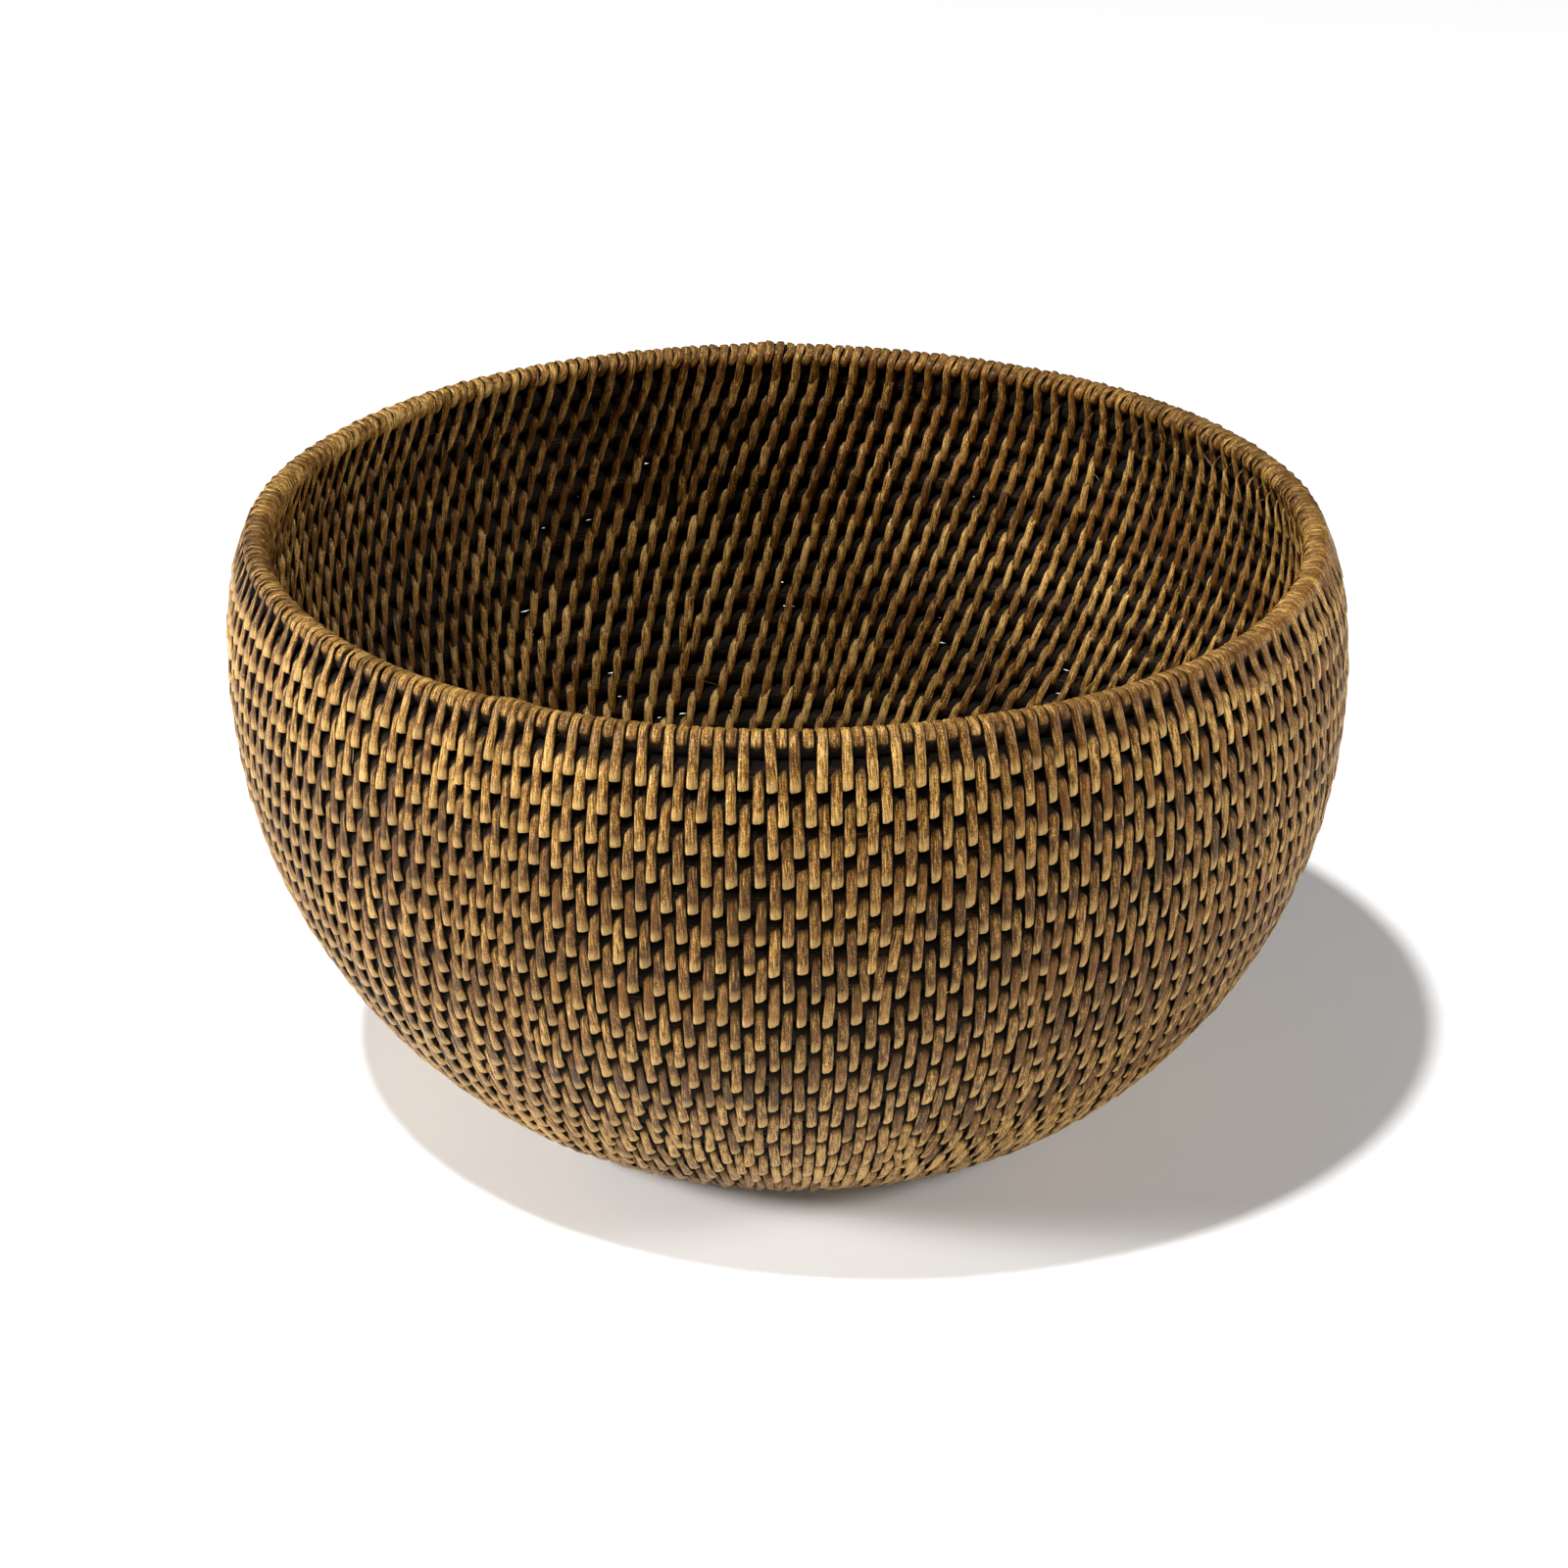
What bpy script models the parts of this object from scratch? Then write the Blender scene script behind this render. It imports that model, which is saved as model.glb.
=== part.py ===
"""Round fruit basket of coiled rattan: a bowl wound from cane in rounds and sewn with strip.

The bowl is symmetric about Z, stands on z = 0 and has +Z up. Every round of the coil is one closed
ring. Its section is laid on the middle line of the wall, which runs flat from the centre of the base,
turns up at the foot, swells to the belly and draws in to the rim. Lengths are in metres.
"""

import math

import bmesh
import bpy

# Overall sizes, over the binding
BELLY_DIAMETER = 0.300
HEIGHT = 0.160
RIM_DIAMETER = 0.2887  # over the rim binding, at the middle of the rim coil
BELLY_HEIGHT = 0.1219  # height of the widest place
FOOT_DIAMETER = 0.1622  # where the wall's middle line leaves the flat base

# Shape of the wall between those sizes, as powers of a superellipse and of the draw-in above the belly
FOOT_FLARE = 1.25
WALL_FULLNESS = 2.17
DRAW_IN_POWER = 2.17

# The coil
CANE_DIAMETER = 0.0056  # through the wall
CANE_CLEARANCE = 0.0003
BINDING_THICKNESS = 0.0011  # a short wrap with a long stitch over it
WALL_THICKNESS = CANE_DIAMETER + 2 * (CANE_CLEARANCE + BINDING_THICKNESS)
BASE_ROUNDS = 10
WALL_ROUNDS = 22
ROUND_GAP = 0.0003
LEG_SHARE = 0.75  # how far a wall binding's legs reach down, over half of its round
START_RADIUS = 0.0036  # the rolled-up tip of the cane at the centre
FOOT_SETBACK = 0.0035  # the last flat round lies this far inside the turn up to the wall
BASE_RISE = 0.0020  # the centre of the base is domed by this much
SHOULDER_SHARE = 0.52  # width of a round's flat outer face over its full width

# The rim, a cane in a binding of its own that is open underneath
RIM_CANE_DIAMETER = 0.0056
RIM_CANE_CLEARANCE = 0.0003
RIM_BINDING_THICKNESS = 0.0010
RIM_SLOT_ANGLE = math.radians(50)
RIM_CANE_SIDES = 8
RIM_BINDING_SIDES = 7

RIM_CAVITY_RADIUS = RIM_CANE_DIAMETER / 2 + RIM_CANE_CLEARANCE
RIM_COIL_RADIUS = RIM_CAVITY_RADIUS + RIM_BINDING_THICKNESS

SEGMENTS = 24  # round the basket
PATH_STEPS = 600  # for measuring along the wall

# Cane and strip colours
CANE_BROWN = (0.30, 0.17, 0.07)
STRIP_GOLD = (0.42, 0.25, 0.09)
STRIP_RED_GOLD = (0.38, 0.20, 0.075)
STRIP_PALE = (0.50, 0.33, 0.14)


def clear_scene():
    """Remove every object that the file starts with."""
    for existing in list(bpy.data.objects):
        bpy.data.objects.remove(existing, do_unlink=True)


def make_finish(name, colour, roughness):
    """A Principled material of one colour, not metallic."""
    finish = bpy.data.materials.new(name)
    finish.use_nodes = True
    shader = finish.node_tree.nodes["Principled BSDF"]
    shader.inputs["Base Color"].default_value = (*colour, 1.0)
    shader.inputs["Roughness"].default_value = roughness
    shader.inputs["Metallic"].default_value = 0.0
    finish.diffuse_color = (*colour, 1.0)
    return finish


def wall_line():
    """Points (radius, height) of the wall's middle line, from the centre of the base to the rim coil."""
    half_wall = WALL_THICKNESS / 2
    foot = FOOT_DIAMETER / 2
    belly = BELLY_DIAMETER / 2 - half_wall
    rim = RIM_DIAMETER / 2 - RIM_COIL_RADIUS
    rim_height = HEIGHT - RIM_COIL_RADIUS
    points = [(0.0, half_wall), (foot, half_wall)]
    for step in range(1, PATH_STEPS + 1):
        turn = math.pi / 2 * step / PATH_STEPS
        out = math.sin(turn) ** (2 / FOOT_FLARE)
        up = 1 - max(math.cos(turn), 0.0) ** (2 / WALL_FULLNESS)
        points.append((foot + (belly - foot) * out, half_wall + (BELLY_HEIGHT - half_wall) * up))
    for step in range(1, PATH_STEPS + 1):
        share = step / PATH_STEPS
        radius = belly - (belly - rim) * share**DRAW_IN_POWER
        points.append((radius, BELLY_HEIGHT + (rim_height - BELLY_HEIGHT) * share))
    return points


class Path:
    """The wall's middle line, read by the distance along it from the centre of the base."""

    def __init__(self, points):
        self.points = points
        self.along = [0.0]
        for start, end in zip(points, points[1:]):
            self.along.append(self.along[-1] + math.dist(start, end))
        self.length = self.along[-1]

    def point(self, distance):
        """The point (radius, height) at a distance along the line."""
        at = min(max(distance, 0.0), self.length)
        index = next(i for i, reached in enumerate(self.along[1:]) if reached >= at - 1e-12)
        start, end = self.points[index], self.points[index + 1]
        share = (at - self.along[index]) / (self.along[index + 1] - self.along[index])
        return tuple(a + (b - a) * share for a, b in zip(start, end))

    def direction(self, distance, reach):
        """The line's direction at a distance along it, taken over a short reach each way."""
        back, ahead = self.point(distance - reach), self.point(distance + reach)
        length = math.dist(back, ahead)
        return ((ahead[0] - back[0]) / length, (ahead[1] - back[1]) / length)


def hexagon_section(width, thickness):
    """A round's section as (along, outward): flat on both skins, with a ridge towards each neighbour."""
    shoulder = width * SHOULDER_SHARE / 2
    half = thickness / 2
    return [
        (width / 2, 0.0),
        (shoulder, half),
        (-shoulder, half),
        (-width / 2, 0.0),
        (-shoulder, -half),
        (shoulder, -half),
    ]


def wall_cane_section(width):
    """A wall cane's section: under the top of its binding, and clear of the round below."""
    cane_width = width - BINDING_THICKNESS - 2 * CANE_CLEARANCE
    middle = -BINDING_THICKNESS / 2
    return [(along + middle, out) for along, out in hexagon_section(cane_width, CANE_DIAMETER)]


def wall_binding_section(width):
    """A channel over a wall cane, with a top and two legs, open towards the round below."""
    ridge, shoulder, *_ = hexagon_section(width, WALL_THICKNESS)
    cavity = (width - 2 * BINDING_THICKNESS, WALL_THICKNESS - 2 * BINDING_THICKNESS)
    inner_ridge, inner_shoulder, *_ = hexagon_section(*cavity)
    leg = -width / 2 * LEG_SHARE
    outer_side = [(leg, shoulder[1]), shoulder, ridge, (shoulder[0], -shoulder[1]), (leg, -shoulder[1])]
    inner_side = [
        (leg, -inner_shoulder[1]),
        (inner_shoulder[0], -inner_shoulder[1]),
        inner_ridge,
        inner_shoulder,
        (leg, inner_shoulder[1]),
    ]
    return outer_side + inner_side


def rim_cane_section(diameter):
    """The rim cane's section, a regular polygon with a flat towards each neighbour."""
    step = 2 * math.pi / RIM_CANE_SIDES
    radius = diameter / 2
    corners = []
    for side in range(RIM_CANE_SIDES):
        angle = -step * (side + 0.5)
        corners.append((radius * math.cos(angle), radius * math.sin(angle)))
    return corners


def sleeve_section(inner_radius, outer_radius):
    """A C round the rim cane, open on the side towards the wall, as (along, outward)."""
    first = math.pi + RIM_SLOT_ANGLE / 2
    sweep = 2 * math.pi - RIM_SLOT_ANGLE
    outer, inner = [], []
    for side in range(RIM_BINDING_SIDES + 1):
        angle = first + sweep * side / RIM_BINDING_SIDES
        outer.append((outer_radius * math.cos(angle), outer_radius * math.sin(angle)))
        inner.append((inner_radius * math.cos(angle), inner_radius * math.sin(angle)))
    return outer[::-1] + inner


def placed(section, direction):
    """A section turned to lie along the wall's direction, as (radius, height) from its own centre."""
    along_r, along_z = direction
    return [(a * along_r + n * along_z, a * along_z - n * along_r) for a, n in section]


def turned_mesh(name, outline, closed):
    """The mesh of an outline (radius, height) turned once round Z."""
    mesh = bpy.data.meshes.new(name)
    shape = bmesh.new()
    corners = [shape.verts.new((radius, 0.0, height)) for radius, height in outline]
    edges = [shape.edges.new(pair) for pair in zip(corners, corners[1:])]
    if closed:
        edges.append(shape.edges.new((corners[-1], corners[0])))
    bmesh.ops.spin(
        shape,
        geom=corners + edges,
        cent=(0.0, 0.0, 0.0),
        axis=(0.0, 0.0, 1.0),
        angle=2 * math.pi,
        steps=SEGMENTS,
        use_merge=True,
    )
    bmesh.ops.remove_doubles(shape, verts=shape.verts, dist=1e-6)
    bmesh.ops.recalc_face_normals(shape, faces=shape.faces)
    shape.to_mesh(mesh)
    shape.free()
    return mesh


def add_piece(name, mesh, height, finish, holder):
    """One named solid, placed at its height and held by the basket's empty."""
    mesh.materials.append(finish)
    mesh.shade_smooth()
    mesh.set_sharp_from_angle(angle=math.radians(35))
    piece = bpy.data.objects.new(name, mesh)
    piece.location = (0.0, 0.0, height)
    piece.parent = holder
    bpy.context.collection.objects.link(piece)
    return piece


def add_ring(name, section, centre, direction, finish, holder):
    """One closed ring whose section stands at a centre (radius, height) of the wall's line."""
    radius, height = centre
    outline = [(radius + r, z) for r, z in placed(section, direction)]
    return add_piece(name, turned_mesh(name, outline, closed=True), height, finish, holder)


def dome(radius, last_radius):
    """How far a base round at a radius is raised: a parabola, flat where the basket rests."""
    return BASE_RISE * (1 - (radius / last_radius) ** 2)


def add_base(path, last_radius, pitch, holder):
    """The rolled-up start and the flat rounds of the base, the last of which the basket rests on."""
    finish = make_finish("base_strip", STRIP_RED_GOLD, 0.50)
    half = WALL_THICKNESS / 2
    shoulder = START_RADIUS * SHOULDER_SHARE
    button = [(0.0, half), (shoulder, half), (START_RADIUS, 0.0), (shoulder, -half), (0.0, -half)]
    start_mesh = turned_mesh("base_start", button, closed=False)
    start_finish = make_finish("start_strip", STRIP_PALE, 0.50)
    add_piece("base_start", start_mesh, half + dome(0.0, last_radius), start_finish, holder)
    section = hexagon_section(pitch - ROUND_GAP, WALL_THICKNESS)
    for index in range(BASE_ROUNDS):
        radius, height = path.point(last_radius - pitch * (BASE_ROUNDS - 1 - index))
        centre = (radius, height + dome(radius, last_radius))
        add_ring(f"base_round_{index + 1:02d}", section, centre, (1.0, 0.0), finish, holder)


def add_wall(path, first, pitch, holder):
    """The rounds of the wall, from the foot up: in each, a cane and the binding sewn over it."""
    cane_finish = make_finish("wall_cane", CANE_BROWN, 0.65)
    strip_finish = make_finish("wall_strip", STRIP_GOLD, 0.48)
    cane = wall_cane_section(pitch - ROUND_GAP)
    binding = wall_binding_section(pitch - ROUND_GAP)
    for index in range(WALL_ROUNDS):
        distance = first + pitch * index
        centre = path.point(distance)
        direction = path.direction(distance, pitch / 2)
        add_ring(f"wall_cane_{index + 1:02d}", cane, centre, direction, cane_finish, holder)
        add_ring(f"wall_binding_{index + 1:02d}", binding, centre, direction, strip_finish, holder)


def add_rim(path, holder):
    """The rim: its cane, and the binding that is wound round it."""
    centre = path.point(path.length)
    direction = path.direction(path.length - RIM_COIL_RADIUS, RIM_COIL_RADIUS)
    cane = rim_cane_section(RIM_CANE_DIAMETER)
    sleeve = sleeve_section(RIM_CAVITY_RADIUS, RIM_COIL_RADIUS)
    cane_finish = make_finish("rim_cane", CANE_BROWN, 0.65)
    strip_finish = make_finish("rim_strip", STRIP_PALE, 0.45)
    add_ring("rim_cane", cane, centre, direction, cane_finish, holder)
    add_ring("rim_binding", sleeve, centre, direction, strip_finish, holder)


def build():
    """Lay out the rounds along the wall's middle line and make every piece."""
    clear_scene()
    holder = bpy.data.objects.new("basket", None)
    bpy.context.collection.objects.link(holder)
    path = Path(wall_line())
    last_radius = FOOT_DIAMETER / 2 - FOOT_SETBACK
    base_pitch = (last_radius - START_RADIUS - ROUND_GAP / 2) / (BASE_ROUNDS - 0.5)
    wall_start = last_radius + base_pitch / 2
    wall_end = path.length - RIM_COIL_RADIUS - ROUND_GAP / 2
    wall_pitch = (wall_end - wall_start) / WALL_ROUNDS
    add_base(path, last_radius, base_pitch, holder)
    add_wall(path, wall_start + wall_pitch / 2, wall_pitch, holder)
    add_rim(path, holder)


build()
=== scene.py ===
"""Looks of a round coiled rattan basket: every cane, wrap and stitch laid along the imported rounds.

The basket is wound from cane in rounds. A split strip is sewn round each cane in long stitches, and each of
them takes in the cane below as well, between the stitches of that round. On the rim a short wrap, round the
rim's own cane alone, follows every long stitch. The strip of a round is one closed band that runs on from
stitch to stitch, so the rows of stitches lie half a stitch apart, as bricks do. Fine fibres stand off the wall.
All lengths are in metres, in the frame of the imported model, with +Z up.
"""

import logging
import math
from dataclasses import dataclass, field
from enum import Enum
from typing import Any

import bpy
import numpy as np
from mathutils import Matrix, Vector


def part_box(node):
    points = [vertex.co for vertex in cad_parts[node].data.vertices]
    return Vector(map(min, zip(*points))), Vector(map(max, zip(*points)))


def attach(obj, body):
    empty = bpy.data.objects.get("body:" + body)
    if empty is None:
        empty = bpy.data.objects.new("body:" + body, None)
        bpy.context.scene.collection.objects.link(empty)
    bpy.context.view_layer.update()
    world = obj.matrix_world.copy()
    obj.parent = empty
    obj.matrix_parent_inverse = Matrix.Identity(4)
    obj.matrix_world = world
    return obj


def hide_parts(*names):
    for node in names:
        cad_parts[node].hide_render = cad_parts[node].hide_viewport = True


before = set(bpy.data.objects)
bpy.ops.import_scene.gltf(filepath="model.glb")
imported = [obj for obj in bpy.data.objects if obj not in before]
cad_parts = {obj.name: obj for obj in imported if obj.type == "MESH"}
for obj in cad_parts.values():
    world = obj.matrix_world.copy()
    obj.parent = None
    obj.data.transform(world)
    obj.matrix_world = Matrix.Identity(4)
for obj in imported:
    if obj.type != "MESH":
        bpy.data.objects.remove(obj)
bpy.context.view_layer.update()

BODY = "root"
TURN = 2 * math.pi
MM = 0.001
MAP_UNIT = 10 * MM  # the length along a piece of one unit of its map
SHARP = math.radians(60)

log = logging.getLogger("basket")

Colour = tuple[float, float, float]
Pair = tuple[float, float]
Triple = tuple[float, float, float]
Array = np.ndarray


class Zone(Enum):
    """Where in the basket a round lies."""

    BASE = "base"
    WALL = "wall"
    RIM = "rim"


# --- Shader building ---


@dataclass(frozen=True)
class Value:
    """An output socket that adds Math nodes to its tree as it is summed, multiplied and so on."""

    tree: "ShaderTree"
    socket: bpy.types.NodeSocket

    def maths(self, operation: str, left: Any, right: Any = 0.0) -> "Value":
        """The result of one Math node: an operation, such as ADD, on two values or numbers."""
        return self.tree.add("ShaderNodeMath", {"operation": operation}, {0: left, 1: right})

    def __add__(self, other: Any) -> "Value":
        """This plus other."""
        return self.maths("ADD", self, other)

    __radd__ = __add__

    def __sub__(self, other: Any) -> "Value":
        """This less other."""
        return self.maths("SUBTRACT", self, other)

    def __rsub__(self, other: Any) -> "Value":
        """Other less this."""
        return self.maths("SUBTRACT", other, self)

    def __mul__(self, other: Any) -> "Value":
        """This times other."""
        return self.maths("MULTIPLY", self, other)

    __rmul__ = __mul__

    def clamp(self) -> "Value":
        """This held between 0 and 1."""
        return self.maths("MINIMUM", self.maths("MAXIMUM", self, 0.0), 1.0)

    def step(self, low: float, high: float) -> "Value":
        """A smooth rise, from 0 where this value is low to 1 where it is high."""
        settings = {"interpolation_type": "SMOOTHSTEP"}
        return self.tree.add("ShaderNodeMapRange", settings, {"Value": self, "From Min": low, "From Max": high})


class ShaderTree:
    """A material's node tree, built from calls to one method."""

    def __init__(self, name: str) -> None:
        """Start a material with an empty tree.

        Args:
            name: the material's name.
        """
        self.material = bpy.data.materials.new(name)
        self.material.use_nodes = True
        self.nodes = self.material.node_tree.nodes
        self.links = self.material.node_tree.links
        self.nodes.clear()

    def add(
        self,
        kind: str,
        settings: dict[str, Any] | None = None,
        inputs: dict[Any, Any] | None = None,
        output: Any = 0,
    ) -> Value:
        """Add a node, set it, and feed its sockets.

        Args:
            kind: the node's type name.
            settings: properties to set first. A ramp's stops are given as "stops".
            inputs: a number, colour or Value for each socket, by its name or index.
            output: the name or index of the output to return.

        Returns:
            The chosen output.
        """
        node = self.nodes.new(kind)
        for name, setting in (settings or {}).items():
            if name == "stops":
                self._set_stops(node.color_ramp, setting)
            else:
                setattr(node, name, setting)
        for name, given in (inputs or {}).items():
            if isinstance(given, Value):
                self.links.new(given.socket, node.inputs[name])
            else:
                node.inputs[name].default_value = given
        return Value(self, node.outputs[output])

    @staticmethod
    def _set_stops(ramp: bpy.types.ColorRamp, stops: list[tuple[float, Colour]]) -> None:
        """Give a colour ramp its stops.

        Args:
            ramp: the ramp to set.
            stops: a place and a colour for each stop, in order.
        """
        while len(ramp.elements) < len(stops):
            ramp.elements.new(1.0)
        for element, (place, colour) in zip(ramp.elements, stops):
            element.position = place
            element.color = (*colour, 1.0)

    def noise(self, where: Value, scale: float, detail: float = 2.0, roughness: float = 0.5) -> Value:
        """Noise over a vector, about 0.5 on average: scale is its features to a unit, detail its finer layers."""
        inputs = {"Vector": where, "Scale": scale, "Detail": detail, "Roughness": roughness}
        return self.add("ShaderNodeTexNoise", {}, inputs)

    def stretched(self, where: Value, grid: Triple) -> Value:
        """A vector times a grid, item by item: noise over it has that many features each way."""
        return self.add("ShaderNodeVectorMath", {"operation": "MULTIPLY"}, {0: where, 1: grid})

    def place(self) -> Value:
        """Where the basket is shaded, in metres."""
        return self.add("ShaderNodeTexCoord", {}, {}, "Object")

    def attribute(self, name: str) -> Value:
        """A number that the mesh carries."""
        return self.add("ShaderNodeAttribute", {"attribute_name": name}, {}, "Fac")

    def mix(self, share: Any, first: Any, second: Any) -> Value:
        """A colour between two others: the first at a share of 0 and the second at 1."""
        inputs = {"Factor": share, 6: first, 7: second}
        return self.add("ShaderNodeMix", {"data_type": "RGBA"}, inputs, 2)

    def bump(self, height: Value, strength: float, distance: float) -> Value:
        """A normal that stands up with a height: the distance is the height of 1, in metres."""
        inputs = {"Height": height, "Strength": strength, "Distance": distance}
        return self.add("ShaderNodeBump", {}, inputs, "Normal")

    def finish(self, inputs: dict[Any, Any]) -> bpy.types.Material:
        """Make the surface.

        Args:
            inputs: a number, colour or Value for each of the Principled shader's sockets.

        Returns:
            The finished material.
        """
        shader = self.add("ShaderNodeBsdfPrincipled", {}, inputs)
        end = self.nodes.new("ShaderNodeOutputMaterial")
        self.links.new(shader.socket, end.inputs["Surface"])
        return self.material


# --- Finishes ---


@dataclass(frozen=True)
class StripFinish:
    """Varnished split cane: fibres along the strip, flecks across it, and old dust and painted shade in the
    grooves.
    """

    name: str
    dark: Colour = (0.036, 0.0120, 0.0028)
    brown: Colour = (0.128, 0.047, 0.0086)
    gold: Colour = (0.300, 0.140, 0.0208)
    pale: Colour = (0.780, 0.500, 0.1660)
    rust: Colour = (0.175, 0.062, 0.0100)
    # The colour of the dust and painted shade in the grooves and under the edges.
    grime: Colour = (0.0080, 0.0028, 0.0008)
    tint: Colour = (1.0, 0.74, 0.42)
    specular: float = 0.28
    roughness: float = 0.36
    coat: float = 0.11
    coat_roughness: float = 0.18
    stops: tuple[float, ...] = (0.15, 0.36, 0.60, 0.95)  # shades at which dark, brown, gold and pale stand
    # Features across the strip and along each 10 mm of it.
    fibre_grid: Triple = (6.5, 2.2, 1.0)
    fine_grid: Triple = (18.0, 2.6, 1.0)
    fleck_grid: Triple = (10.0, 18.0, 1.0)
    # Features to a metre of the basket.
    patch_scale: float = 22.0
    smear_scale: float = 150.0
    grain_scale: float = 2200.0
    # How much each moves the shade.
    base_shade: float = 0.11
    tone_weight: float = 0.60
    patch_weight: float = 0.50
    smear_weight: float = 0.70
    grain_weight: float = 1.2
    fibre_weight: float = 1.5
    fine_weight: float = 2.5
    edge_weight: float = 0.9
    relief: float = 0.00045
    # From where each starts to where it is full, on its noise or on the square of the way off centre.
    fleck_range: Pair = (0.58, 0.72)
    rubbed_edge: Pair = (0.09, 0.15)
    rubbed_fibre: Pair = (0.42, 0.70)
    dark_edge: Pair = (0.175, 0.225)
    groove_range: Pair = (0.02, 0.44)
    # How strong each is.
    rust_weight: float = 0.6
    foot_rub: float = 0.8
    edge_rub: float = 0.45
    edge_dirt: float = 0.90
    fleck_dirt: float = 0.60
    fine_roughness: float = 0.22
    dirt_roughness: float = 0.30

    def material(self) -> bpy.types.Material:
        """Build the node material.

        Returns:
            The strip's material, which reads the band's map and its point attributes.
        """
        tree = ShaderTree(self.name)
        along = tree.add("ShaderNodeUVMap", {"uv_map": "strip"})
        across = tree.add("ShaderNodeSeparateXYZ", {}, {0: along}, "X")
        place = tree.place()
        fibre = tree.noise(tree.stretched(along, self.fibre_grid), 1.0, 3.0)
        fine = tree.noise(tree.stretched(along, self.fine_grid), 1.0, 4.0, 0.72)
        fleck = tree.noise(tree.stretched(along, self.fleck_grid), 1.0, 2.0).step(*self.fleck_range)
        patch = tree.noise(place, self.patch_scale, 3.0)
        smear = tree.noise(place, self.smear_scale, 3.0, 0.6)
        grain = tree.noise(place, self.grain_scale, 2.0, 0.6)
        tone, rust = tree.attribute("tone"), tree.attribute("rust")
        groove, wear_and_highlight = tree.attribute("groove"), tree.attribute("wear_and_highlight")

        off_centre = (across - 0.5) * (across - 0.5)
        shade = tone * self.tone_weight + (patch - 0.5) * self.patch_weight
        shade = shade + (smear - 0.5) * self.smear_weight + (grain - 0.5) * self.grain_weight
        shade = shade + (fibre - 0.5) * self.fibre_weight + (fine - 0.5) * self.fine_weight
        # Darker towards the edges: painted shade over the strip's rounded face.
        shade = shade - off_centre * self.edge_weight + self.base_shade
        stops = list(zip(self.stops, (self.dark, self.brown, self.gold, self.pale)))
        colour = tree.add("ShaderNodeValToRGB", {"stops": stops}, {"Fac": shade}, "Color")
        colour = tree.mix((rust * self.rust_weight).clamp(), colour, (*self.rust, 1.0))
        # Pale where the feet are scuffed, and along the strip's edges here and there: scuffing with a painted
        # highlight.
        edge_rubs_and_glints = off_centre.step(*self.rubbed_edge) * fibre.step(*self.rubbed_fibre) * self.edge_rub
        pale_share = wear_and_highlight * (fine + 0.05) * self.foot_rub + edge_rubs_and_glints
        colour = tree.mix(pale_share.clamp(), colour, (*self.pale, 1.0))
        # Dark in the grooves and under the edges, for dust and painted shade, and in the flecks.
        edge = off_centre.step(*self.dark_edge) * (1 - wear_and_highlight * 0.8) * self.edge_dirt
        dust_and_shade = 1 - (1 - groove.step(*self.groove_range)) * (1 - edge) * (1 - fleck * self.fleck_dirt)
        colour = tree.mix(dust_and_shade.clamp(), colour, (*self.grime, 1.0))
        smooth = self.roughness - self.fine_roughness / 2
        inputs = {
            "Base Color": colour,
            "Roughness": (fine * self.fine_roughness + dust_and_shade * self.dirt_roughness + smooth).clamp(),
            "Coat Weight": ((1 - dust_and_shade) * self.coat).clamp(),
            "Coat Roughness": self.coat_roughness,
            "Specular IOR Level": self.specular,
            "Specular Tint": (*self.tint, 1.0),
            "Normal": tree.bump(fibre * 0.5 + fine * 0.5, 0.8, self.relief),
        }
        return tree.finish(inputs)


@dataclass(frozen=True)
class CaneFinish:
    """Raw cane inside the binding: dull, fibrous along its length, and dark with dust and painted shade."""

    name: str
    dark: Colour = (0.0040, 0.0022, 0.0010)
    light: Colour = (0.085, 0.046, 0.019)
    roughness: float = 0.72
    specular: float = 0.10
    fibre_grid: Triple = (44.0, 0.8, 1.0)  # features round the cane and along each 10 mm of it
    patch_scale: float = 160.0  # features to a metre of the basket
    relief: float = 0.0003
    fibre_range: Pair = (0.44, 0.70)  # the noise at which light fibres start, and at which they are full
    patch_range: Pair = (0.40, 0.72)
    groove_range: Pair = (0.05, 0.40)
    patch_least: float = 0.20

    def material(self) -> bpy.types.Material:
        """Build the node material.

        Returns:
            The cane's material, which reads the cane's map.
        """
        tree = ShaderTree(self.name)
        along = tree.add("ShaderNodeUVMap", {"uv_map": "cane"})
        place = tree.place()
        fibre = tree.noise(tree.stretched(along, self.fibre_grid), 1.0, 3.0, 0.65)
        patch = tree.noise(place, self.patch_scale, 2.0)
        groove = tree.attribute("groove")
        patchy = self.patch_least + patch.step(*self.patch_range) * (1 - self.patch_least)
        # Darker in the grooves: painted shade.
        shade = fibre.step(*self.fibre_range) * patchy * (1 - groove.step(*self.groove_range))
        inputs = {
            "Base Color": tree.mix(shade, (*self.dark, 1.0), (*self.light, 1.0)),
            "Roughness": (fibre * 0.2 + (self.roughness - 0.1)).clamp(),
            "Specular IOR Level": self.specular,
            "Normal": tree.bump(fibre, 0.6, self.relief),
        }
        return tree.finish(inputs)


@dataclass(frozen=True)
class FibreFinish:
    """Pale raw fibre."""

    name: str
    dark: Colour = (0.20, 0.11, 0.035)
    light: Colour = (0.62, 0.44, 0.20)
    patch_scale: float = 90.0
    roughness: float = 0.6

    def material(self) -> bpy.types.Material:
        """Build the node material.

        Returns:
            The fibre's material, pale and dark by turns over the basket.
        """
        tree = ShaderTree(self.name)
        place = tree.place()
        share = tree.noise(place, self.patch_scale, 2.0).step(0.35, 0.65)
        colour = tree.mix(share, (*self.dark, 1.0), (*self.light, 1.0))
        inputs = {"Base Color": colour, "Roughness": self.roughness}
        return tree.finish(inputs)


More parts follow.
